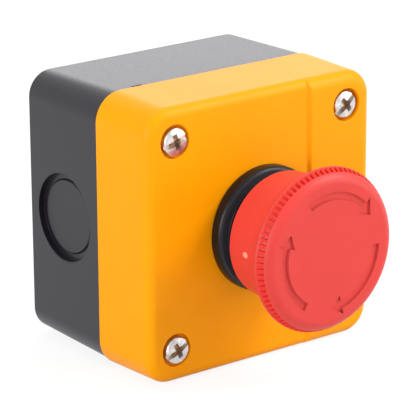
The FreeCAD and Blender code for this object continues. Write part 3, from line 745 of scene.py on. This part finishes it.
# %% [markdown]
# One tooth follows the dome's curve and sinks a little into the button on every side, so that no
# faces lie in the same plane. Its two upper edges are rounded, and it stands half a step beside the
# X axis, because the CAD has a notch there. Hands have made the teeth duller than the face.

# %% Teeth
TOOTH_COUNT = 84
TOOTH_HALF = 0.375
TOOTH_SUNK, TOOTH_OVERLAP = 0.012, 0.1
FOOT_FRONT, FOOT_BACK = 0.2, 0.3
TOOTH_ROUND = 0.08
DIGITS = 7


def tooth_profile():
    """The crest of a tooth and its foot, as radius and depth pairs."""
    crest = [(HEAD_RADIUS - TOOTH_SUNK, GRIP_BACK - TOOTH_OVERLAP), (HEAD_RADIUS - TOOTH_SUNK, RIM_FRONT)]
    crest += [(radius - TOOTH_SUNK, depth) for radius, depth in dome[2:dome_start]]
    crest += [(dome[dome_start][0] - TOOTH_OVERLAP, GRIP_FRONT + TOOTH_OVERLAP)]
    foot = [(GRIP_ROOT - FOOT_FRONT, GRIP_FRONT + TOOTH_OVERLAP),
            (GRIP_STEP - FOOT_BACK, GRIP_BACK - TOOTH_OVERLAP)]
    return crest, foot


def tooth_mesh():
    """One tooth, half a step up from the right of the rim."""
    crest, foot = tooth_profile()
    form = bmesh.new()
    outline = [form.verts.new((r * MM, -d * MM, -TOOTH_HALF * MM)) for r, d in crest + foot]
    extrude(form, form.faces.new(outline), (0, 0, 2 * TOOTH_HALF))
    outer = {(round(r * MM, DIGITS), round(-d * MM, DIGITS)) for r, d in crest}
    upper = [edge for edge in form.edges
             if round(edge.verts[0].co.z - edge.verts[1].co.z, DIGITS) == 0
             and all((round(v.co.x, DIGITS), round(v.co.y, DIGITS)) in outer for v in edge.verts)]
    bmesh.ops.bevel(form, geom=upper, offset=TOOTH_ROUND * MM, segments=2, profile=0.5, affect="EDGES")
    for face in form.faces:
        face.smooth = abs(face.normal.z) < 0.99
    half_step = Matrix.Rotation(-math.pi / TOOTH_COUNT, 3, "Y")
    bmesh.ops.rotate(form, cent=(0, 0, 0), matrix=half_step, verts=form.verts)
    return mesh_of(form, "tooth")


red_grip = plastic("red_grip", (232, 58, 47), roughness=0.6, grain=3000,
                   depth=0.01, specular=0.12, drift=0.03)
tooth = bpy.data.objects.new("tooth", tooth_mesh())
teeth = grown(round_the_axis, bpy.data.meshes.new("seed"), Count=TOOTH_COUNT, Piece=tooth, Finish=red_grip)
bpy.data.objects.remove(tooth)
put("rim_teeth", teeth, red_grip, "button", "red_plastic")

# %% [markdown]
# ## The gate mark
# A moulding keeps a small pale spot where the melt ran in and the sprue was cut off. On this button
# it lies low on the left of the skirt. It could be painted, but then it would need a map of the whole
# button. A flat little dome that stands a tenth of a millimetre proud is simpler and catches light.

# %% Gate mark
GATE_PLACE = Vector((-16.0, -63.8, -0.3))
GATE_SIZE = Vector((0.12, 1.0, 0.75))


def gate_mesh():
    """A flat dome on the skirt."""
    form = bmesh.new()
    bmesh.ops.create_uvsphere(form, u_segments=24, v_segments=12, radius=MM)
    for vert in form.verts:
        vert.co = vert.co * GATE_SIZE + GATE_PLACE * MM
    for face in form.faces:
        face.smooth = True
    return mesh_of(form, "gate")


gate_pink = plastic("gate_pink", (240, 150, 132), roughness=0.55, grain=3200,
                    depth=0.02, specular=0.4, drift=0.08)
put("gate_mark", gate_mesh(), gate_pink, "button", "red_plastic")

# %% [markdown]
# ## Metals
# Bare metal has next to no colour of its own: it shows the studio, tinted. Zinc plate is bright and
# a little cloudy, drawn spring wire is darker, and brass is warm and tarnishes in patches. The same
# two noises serve again, one for the clouds and one for fine scratches in the gloss. A painted brown
# shade lies over the zinc wherever a mesh marks it in an attribute of its own: the floors of the
# screws' recesses.

# %% Metals
CLOUD_WAVES, SCRATCH_WAVES = 900.0, 5200.0
SCRATCH_DEPTH = 0.002
SMOOTHER, ROUGHER = 0.06, 0.08
PAINTED_SHADE_BROWN = (0.56, 0.42, 0.29)


def bare_metal(name, colour, roughness, clouds):
    """Metal whose tint and gloss drift from place to place."""
    material, tree, shader = new_material(name)
    slow = spread(tree, noise(tree, CLOUD_WAVES, detail=3.0), 0.0, 1.0)
    fine = noise(tree, SCRATCH_WAVES)
    dull = [value * (1 - clouds) for value in colour]
    tree.links.new(tint(tree, slow, dull, colour), shader.inputs["Base Color"])
    gloss = spread(tree, fine, roughness - SMOOTHER, roughness + ROUGHER)
    tree.links.new(gloss, shader.inputs["Roughness"])
    tree.links.new(relief(tree, fine, SCRATCH_DEPTH), shader.inputs["Normal"])
    shader.inputs["Metallic"].default_value = 1.0
    return material


zinc_plate = bare_metal("zinc_plate", (0.8, 0.78, 0.77), roughness=0.34, clouds=0.42)
# Painted shade: a brown darkening on the zinc where a mesh's attribute marks a recess floor
recess_shade = add_node(zinc_plate.node_tree, "ShaderNodeAttribute", attribute_name="recess_shade")
overlay(zinc_plate, recess_shade.outputs["Fac"], PAINTED_SHADE_BROWN)
spring_wire = bare_metal("spring_wire", (0.46, 0.46, 0.47), roughness=0.3, clouds=0.25)
bright_brass = bare_metal("bright_brass", (0.83, 0.62, 0.28), roughness=0.26, clouds=0.3)
print("metals", [made.name for made in (zinc_plate, spring_wire, bright_brass)])

# %% [markdown]
# ## A recess and a thread
# The recess takes two drivers: a slot right across and a cross in the middle. Three blocks that
# overlap have its form, and the two of the cross get narrower inwards. The thread is a small
# triangle spun with a step along the axis at each turn, which is what bmesh's spin calls dvec.

# %% Recess and thread
# Half the length, half the width and the depth of a block, and how much narrower its floor is
RECESS = ((1.1, 0.19, 0.34, 1.0), (0.76, 0.25, 0.6, 0.55), (0.25, 0.76, 0.6, 0.55))
RECESS_AHEAD = 0.4
THREAD_STEPS, THREAD_PITCH, THREAD_SUNK = 12, 0.7, 0.1


def recess_blocks(head):
    """A slot and a tapered cross in front of a screw's head, in shares of its radius."""
    form = bmesh.new()
    for along, across, deep, narrow in RECESS:
        for vert in bmesh.ops.create_cube(form, size=2.0)["verts"]:
            inside = vert.co.y > 0
            share = narrow if inside else 1.0
            depth = deep if inside else -RECESS_AHEAD
            vert.co = Vector((vert.co.x * along * share, depth, vert.co.z * across * share)) * head * MM
    return mesh_of(form, "recess")


def add_thread(form, core, ridge, back, ahead):
    """A ridge that winds round a shank between two depths."""
    pitch = THREAD_PITCH * ridge
    turns = int((ahead - back) / pitch)
    foot = core - THREAD_SUNK
    corners = [(foot, back), (ridge, back + 0.25 * pitch), (foot, back + 0.5 * pitch)]
    line = [form.verts.new((radius * MM, -depth * MM, 0)) for radius, depth in corners]
    edges = [form.edges.new((line[index], line[index - 1])) for index in range(3)]
    bmesh.ops.spin(form, geom=line + edges, cent=(0, 0, 0), axis=(0, 1, 0),
                   dvec=(0, -pitch * MM / THREAD_STEPS, 0), angle=2 * math.pi * turns,
                   steps=THREAD_STEPS * turns)
    bmesh.ops.holes_fill(form, edges=[edge for edge in form.edges if edge.is_boundary])
    bmesh.ops.recalc_face_normals(form, faces=form.faces)


print("a recess of", len(RECESS), "blocks")

# %% [markdown]
# ## A screw
# Shank and head are turned like the button, with a low crown, and the recess is cut with a Boolean.
# Its blocks overlap, so the cutter may meet itself. Points on the floor of the recess get the
# painted shade, which so fades out up its walls.

# %% Screws
CORE_SHARE, TIP_SHARE, NECK_SHARE = 0.8, 0.6, 1.5
HEAD_BEVEL, HEAD_ROUND, NECK_BEVEL = 0.15, 0.2, 0.3
SCREW_STEPS = 32
SLIVER = 0.0002 * MM
# Where the painted recess shade lies: within a share of the head's radius, from a share of it behind the
# crown to a gap before the head's underside
SHADE_WITHIN, SHADE_BELOW, SHADE_GAP = 0.9, 0.2, 0.1


def screw_profile(head, height, crown, shank, core, thread_end, length):
    """Radius and depth pairs of a screw, with the top of its crown at depth 0."""
    dome_radius = (head ** 2 + crown ** 2) / (2 * crown)
    rim = math.degrees(math.acos(head / dome_radius))
    points = [(0, -length), (TIP_SHARE * core, -length), (core, 0.5 * core - length), (core, thread_end)]
    points += [(shank, thread_end + NECK_BEVEL), (shank, -height)]
    points += [(head - HEAD_BEVEL, -height), (head, HEAD_BEVEL - height)]
    points += bend((head - HEAD_ROUND, -crown - HEAD_ROUND), HEAD_ROUND, 0, rim, 4)
    return points + bend((0, -dome_radius), dome_radius, rim + 1.0, 90, 8)


def screw_mesh(head, height, crown, shank, length):
    """A screw on the button's axis, with the top of its crown at the origin, in millimetres."""
    core = CORE_SHARE * shank
    thread_end = -height - NECK_SHARE * shank
    profile = screw_profile(head, height, crown, shank, core, thread_end, length)
    blank = mesh_of(turned(profile, SCREW_STEPS), "blank")
    form = bmesh.new()
    add_thread(form, core, shank, TIP_SHARE * core - length, thread_end)
    form.from_mesh(cut_away(blank, recess_blocks(head), overlapping=True))
    bmesh.ops.dissolve_degenerate(form, edges=form.edges, dist=SLIVER)
    for edge in form.edges:
        edge.smooth = edge.calc_face_angle(0) < SHARP_CORNER
    # Painted shade on the floor of the recess, kept in the attribute that the zinc reads
    layer = form.verts.layers.float.new("recess_shade")
    lowest = (height - SHADE_GAP) * MM
    for vert in form.verts:
        inner = math.hypot(vert.co.x, vert.co.z) < SHADE_WITHIN * head * MM
        vert[layer] = float(inner and SHADE_BELOW * head * MM < vert.co.y < lowest)
    return mesh_of(form, "screw")


COVER_HEAD, CARRIER_HEAD, TERMINAL_HEAD = 3.3, 2.0, 2.5
cover_screw = screw_mesh(COVER_HEAD, height=2.4, crown=0.5, shank=1.7, length=27.4)
carrier_screw = screw_mesh(CARRIER_HEAD, height=1.4, crown=0.3, shank=1.2, length=9.4)
terminal_screw = screw_mesh(TERMINAL_HEAD, height=2.6, crown=0.3, shank=1.5, length=9.75)
print("screw", len(cover_screw.polygons), "faces")

# %% [markdown]
# ## Screws at their places
# Nobody lines up the slots when a cover is screwed on, so each screw has its own turn. A second tree
# sets a piece on the points of a small mesh and reads the turn of each point from a named attribute.
# The places come from the CAD: the box round a set of four screws gives their centres, one head's
# radius in from its corners.


# %% A tree that sets a piece on points
def points_tree():
    """Copies of a piece on the points of a mesh, turned by the attribute called turn."""
    tree, start, end = new_tree("on_points", ("Piece", "Object"), ("Finish", "Material"))
    turn = add_node(tree, "GeometryNodeInputNamedAttribute", data_type="FLOAT")
    turn.inputs["Name"].default_value = "turn"
    set_copies(tree, start, start.outputs["Geometry"], turn.outputs["Attribute"], end)
    return tree


def reach(node):
    """The lowest and highest X, depth and Z of a CAD solid in millimetres."""
    points = [vert.co / MM for vert in nodes[node].data.vertices]
    lists = ([p.x for p in points], [-p.y for p in points], [p.z for p in points])
    return [(min(values), max(values)) for values in lists]


def four_points(node, margin, turns):
    """Points at the corners of a solid's box, in by a margin, each with a turn in degrees."""
    wide, _, high = reach(node)
    columns = (wide[0] + margin, wide[1] - margin)
    rows = (high[0] + margin, high[1] - margin)
    mesh = bpy.data.meshes.new("spots")
    mesh.from_pydata([Vector((x, 0, z)) * MM for x in columns for z in rows], [], [])
    turn = mesh.attributes.new("turn", "FLOAT", "POINT")
    turn.data.foreach_set("value", [-math.radians(angle) for angle in turns])
    return mesh


on_points = points_tree()


def put_screws(name, node, screw, head, turns, to_wall=False):
    """Four screws in place of a CAD node, with their heads to the front or to the wall."""
    depths = reach(node)[1]
    if to_wall:
        screw.transform(Matrix.Rotation(math.pi, 4, "X"))
    top = depths[0] if to_wall else depths[1]
    screw.transform(Matrix.Translation((0, -top * MM, 0)))
    template = bpy.data.objects.new("screw", screw)
    mesh = grown(on_points, four_points(node, head, turns), Piece=template, Finish=zinc_plate)
    bpy.data.objects.remove(template)
    put(name, mesh, zinc_plate, "station", "plated_steel", node)


put_screws("cover_screw_set", "cover_screws", cover_screw, COVER_HEAD, (26, 17, 62, 40))
put_screws("carrier_screw_set", "carrier_screws", carrier_screw, CARRIER_HEAD, (12, 70, 35, 51))
put_screws("terminal_screw_set", "terminal_screws", terminal_screw, TERMINAL_HEAD, (8, 33, 57, 20),
           to_wall=True)

# %% [markdown]
# ## Springs
# A large spring lifts the button, and each contact block has a small one. All three are coils with
# closed end turns, so that they stand square on their seats. One tree winds them from a spiral
# curve: three Map Range nodes give the rise along the wire, flat over the first turn, steep over the
# middle and flat over the last. A circle run along that curve gives the wire its thickness.

# %% A tree that winds a coil
COIL_STEPS, WIRE_SIDES = 32, 10


def reckon(tree, operation, *values):
    """A Math node on outputs or plain numbers."""
    made = add_node(tree, "ShaderNodeMath", operation=operation)
    for socket, value in zip(made.inputs, values):
        feed(tree, value, socket)
    return made.outputs[0]


def coil_depth(tree, turns, wire, length):
    """How deep the middle of the wire lies at each of its points."""
    along = add_node(tree, "GeometryNodeSplineParameter").outputs["Factor"]
    one_turn = reckon(tree, "DIVIDE", 1.0, turns)
    last_turn = reckon(tree, "SUBTRACT", 1.0, one_turn)
    steep = reckon(tree, "SUBTRACT", length, reckon(tree, "MULTIPLY", wire, 3.0))
    first_rise = map_range(tree, along, 0.0, one_turn, 0.0, wire)
    middle_rise = map_range(tree, along, one_turn, last_turn, 0.0, steep)
    last_rise = map_range(tree, along, last_turn, 1.0, 0.0, wire)
    climb = reckon(tree, "ADD", reckon(tree, "ADD", first_rise, middle_rise), last_rise)
    return reckon(tree, "MULTIPLY_ADD", wire, 0.5, climb)


def coil_tree():
    """A coil along the button's axis from depth 0, wound from named sizes in metres."""
    tree, start, end = new_tree("coil", ("Turns", "Float"), ("Radius", "Float"), ("Wire", "Float"),
                                ("Length", "Float"), ("Finish", "Material"))
    turns, wire, length = (start.outputs[key] for key in ("Turns", "Wire", "Length"))
    depth = coil_depth(tree, turns, wire, length)
    spiral = add_node(tree, "GeometryNodeCurveSpiral")
    spiral.inputs["Resolution"].default_value = COIL_STEPS
    spiral.inputs["Height"].default_value = 0.0
    link = tree.links.new
    link(turns, spiral.inputs["Rotations"])
    for key in ("Start Radius", "End Radius"):
        link(start.outputs["Radius"], spiral.inputs[key])
    flat = add_node(tree, "ShaderNodeSeparateXYZ")
    link(add_node(tree, "GeometryNodeInputPosition").outputs[0], flat.inputs[0])
    lifted = add_node(tree, "ShaderNodeCombineXYZ")
    link(flat.outputs["X"], lifted.inputs["X"])
    link(reckon(tree, "MULTIPLY", depth, -1.0), lifted.inputs["Y"])
    link(flat.outputs["Y"], lifted.inputs["Z"])
    moved = add_node(tree, "GeometryNodeSetPosition")
    link(spiral.outputs[0], moved.inputs["Geometry"])
    link(lifted.outputs[0], moved.inputs["Position"])
    circle = add_node(tree, "GeometryNodeCurvePrimitiveCircle")
    circle.inputs["Resolution"].default_value = WIRE_SIDES
    link(reckon(tree, "MULTIPLY", wire, 0.5), circle.inputs["Radius"])
    tube = add_node(tree, "GeometryNodeCurveToMesh")
    tube.inputs["Fill Caps"].default_value = True
    link(moved.outputs[0], tube.inputs["Curve"])
    link(circle.outputs[0], tube.inputs["Profile Curve"])
    finish_tree(tree, tube.outputs[0], start.outputs["Finish"], end)
    return tree


coil = coil_tree()
print("a tree of", len(coil.nodes), "nodes")

# %% [markdown]
# When the button goes in, the real springs get shorter. A coil is soft, so it takes no body's motion as a
# whole: it rides on the box and keeps its length here.


def put_spring(name, node, turns, wire):
    """A coil in the CAD spring's place, riding on the box."""
    wide, depths, high = reach(node)
    radius = (high[1] - high[0] - wire) / 2
    length = depths[1] - depths[0]
    mesh = grown(coil, bpy.data.meshes.new("seed"), Turns=float(turns), Radius=radius * MM, Wire=wire * MM,
                 Length=length * MM, Finish=spring_wire)
    mesh.transform(Matrix.Translation(((wide[0] + wide[1]) / 2 * MM, -depths[0] * MM, 0)))
    mesh.shade_smooth()
    spring = put(name, mesh, spring_wire, "station", "spring_steel", node)
    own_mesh(spring)


put_spring("return_coil", "return_spring", turns=5, wire=1.2)
put_spring("nc_coil", "nc_spring", turns=3, wire=0.4)
put_spring("no_coil", "no_spring", turns=8, wire=0.4)

# %% [markdown]
# ## The latch wire
# A hairpin of spring wire lies across the shaft and snaps into its two flats when the button is
# pressed. A poly curve with a bevel depth is the shortest way to a bent wire. Turned into a mesh, its
# end caps are loose, so the doubles are merged.

# %% Latch wire
LATCH_LEG, LATCH_TAIL, LATCH_SHOULDER, LATCH_WIRE = 4.6, -6.0, 2.0, 0.5


def wire_mesh(path, radius):
    """A round wire along points in millimetres."""
    data = bpy.data.curves.new("wire", "CURVE")
    data.dimensions = "3D"
    data.bevel_depth = radius * MM
    data.bevel_resolution = 3
    data.use_fill_caps = True
    line = data.splines.new("POLY")
    line.points.add(len(path) - 1)
    for spot, place in zip(line.points, path):
        spot.co = (*(value * MM for value in place), 1)
    form = bmesh.new()
    form.from_mesh(settled(bpy.data.objects.new("maker", data)))
    bmesh.ops.remove_doubles(form, verts=form.verts, dist=SAME_PLACE)
    bmesh.ops.recalc_face_normals(form, faces=form.faces)
    for face in form.faces:
        face.smooth = len(face.verts) == 4
    return mesh_of(form, "wire")


latch_depth = sum(reach("latch_spring")[1]) / 2
hairpin = [(-LATCH_LEG, LATCH_TAIL)]
hairpin += bend((0, LATCH_SHOULDER), LATCH_LEG, 180, 0, 24)
hairpin += [(LATCH_LEG, LATCH_TAIL)]
latch_mesh = wire_mesh([(x, -latch_depth, z) for x, z in hairpin], LATCH_WIRE)
put("latch_wire", latch_mesh, spring_wire, "station", "spring_steel", "latch_spring")

# %% [markdown]
# ## The pieces inside
# What is left lies inside the box: seals, the nut, the shaft and its clip, and the two contact blocks
# with their brass. The CAD forms are right, so they only get the soft edges and the finish of what
# they are made of. Here the bevels are clamped, because some walls are thinner than two of them.

# %% Inner pieces
seal_black = plastic("seal_black", (34, 34, 34), roughness=0.78, grain=1500,
                     depth=0.02, specular=0.3, drift=0.15)
natural_white = plastic("natural_white", (224, 221, 210), roughness=0.45, grain=2200,
                        depth=0.006, specular=0.4)
satin = {"grain": 2400, "depth": 0.01, "specular": 0.45}
dove_grey = plastic("dove_grey", (122, 124, 127), roughness=0.48, **satin)
block_red = plastic("block_red", (186, 40, 34), roughness=0.46, **satin)
block_green = plastic("block_green", (42, 122, 66), roughness=0.46, **satin)

# Finish, slot, body, width of the soft edges in millimetres, and the solids
INNER = (
    (seal_black, "seal_rubber", "station", 0.12, ("lid_seal", "panel_gasket", "shaft_seal")),
    (dove_grey, "grey_plastic", "station", 0.2,
     ("ring_nut", "latch_sleeve", "contact_carrier", "nc_block_back", "no_block_back")),
    (natural_white, "white_plastic", "button", 0.15, ("head_shaft",)),
    (natural_white, "white_plastic", "pusher", 0.2, ("pusher",)),
    (spring_wire, "spring_steel", "button", 0.08, ("shaft_clip",)),
    (block_red, "opening_plastic", "station", 0.2, ("nc_block_case",)),
    (block_red, "opening_plastic", "nc_slider", 0.12, ("nc_plunger",)),
    (block_green, "closing_plastic", "station", 0.2, ("no_block_case",)),
    (block_green, "closing_plastic", "no_slider", 0.12, ("no_plunger",)),
    (bright_brass, "contact_brass", "station", 0.08, ("nc_terminals", "no_terminals")),
    (bright_brass, "contact_brass", "nc_slider", 0.08, ("nc_bridge",)),
    (bright_brass, "contact_brass", "no_slider", 0.08, ("no_bridge",)),
    (zinc_plate, "plated_steel", "station", 0.1, ("clamp_plates",)),
)
for material, slot, body, width, group in INNER:
    for node in group:
        put(node + "_finished", soft_copy(node, width, steps=2, clamped=True), material, body, slot, node)
